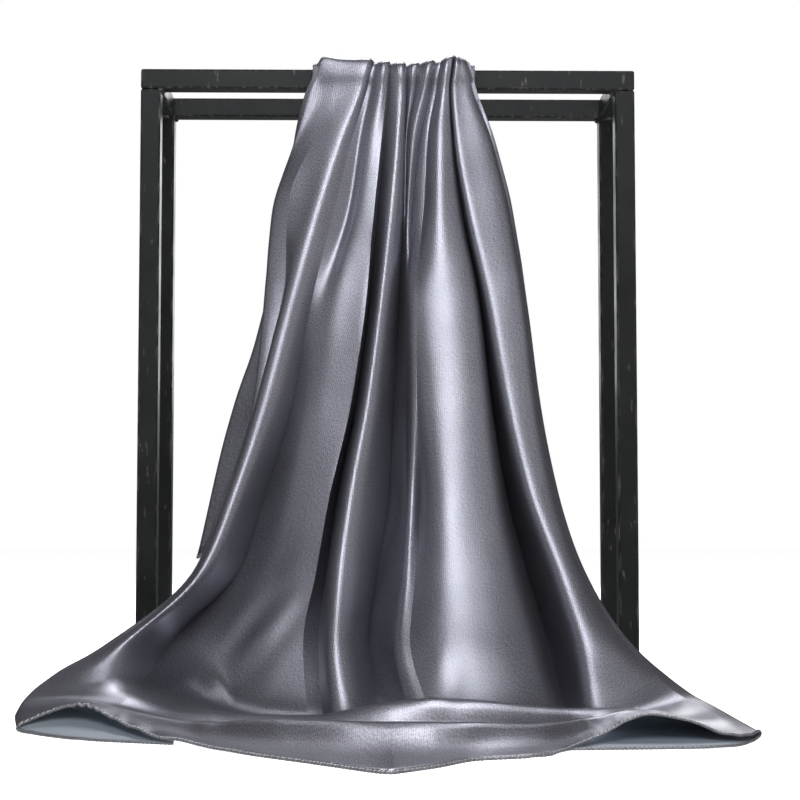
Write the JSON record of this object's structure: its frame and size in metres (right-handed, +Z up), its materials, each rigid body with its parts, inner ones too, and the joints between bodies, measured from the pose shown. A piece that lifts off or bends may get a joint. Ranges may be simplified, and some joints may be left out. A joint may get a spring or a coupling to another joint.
{
  "type": "square satin scarf on a frame display stand",
  "caption": "Square satin scarf draped in folds over the front bar of a square-tube display stand, with one corner run out on the table.",
  "frame": {"origin": "middle of the underside of the whole part's box, on the table", "axes": "+Z up, +X along the stand's front bar to the right seen from the front, +Y from the scarf's front corner towards the back of the stand"},
  "size_m": [0.5314, 0.457, 0.5228],
  "materials": {
    "stand_paint": "matt black paint, worn at the corners",
    "scarf_satin": "glossy polyester satin, matt on the reverse",
    "scarf_hem": "narrow rolled hem with a run of stitches"
  },
  "bodies": {
    "root": {"front_bar": "stand_paint", "back_bar": "stand_paint", "left_depth_bar": "stand_paint", "right_depth_bar": "stand_paint", "front_left_leg": "stand_paint", "front_right_leg": "stand_paint", "back_left_leg": "stand_paint", "back_right_leg": "stand_paint", "scarf_train": "scarf_satin", "scarf_front_fall": "scarf_satin", "scarf_over_bar": "scarf_satin", "scarf_back_fall": "scarf_satin", "hem_front_left": "scarf_hem", "hem_front_right": "scarf_hem", "hem_under_left": "scarf_hem", "hem_under_right": "scarf_hem", "hem_back_left": "scarf_hem", "hem_back_right": "scarf_hem", "hem_back_right_rise": "scarf_hem"}
  },
  "joints": []
}
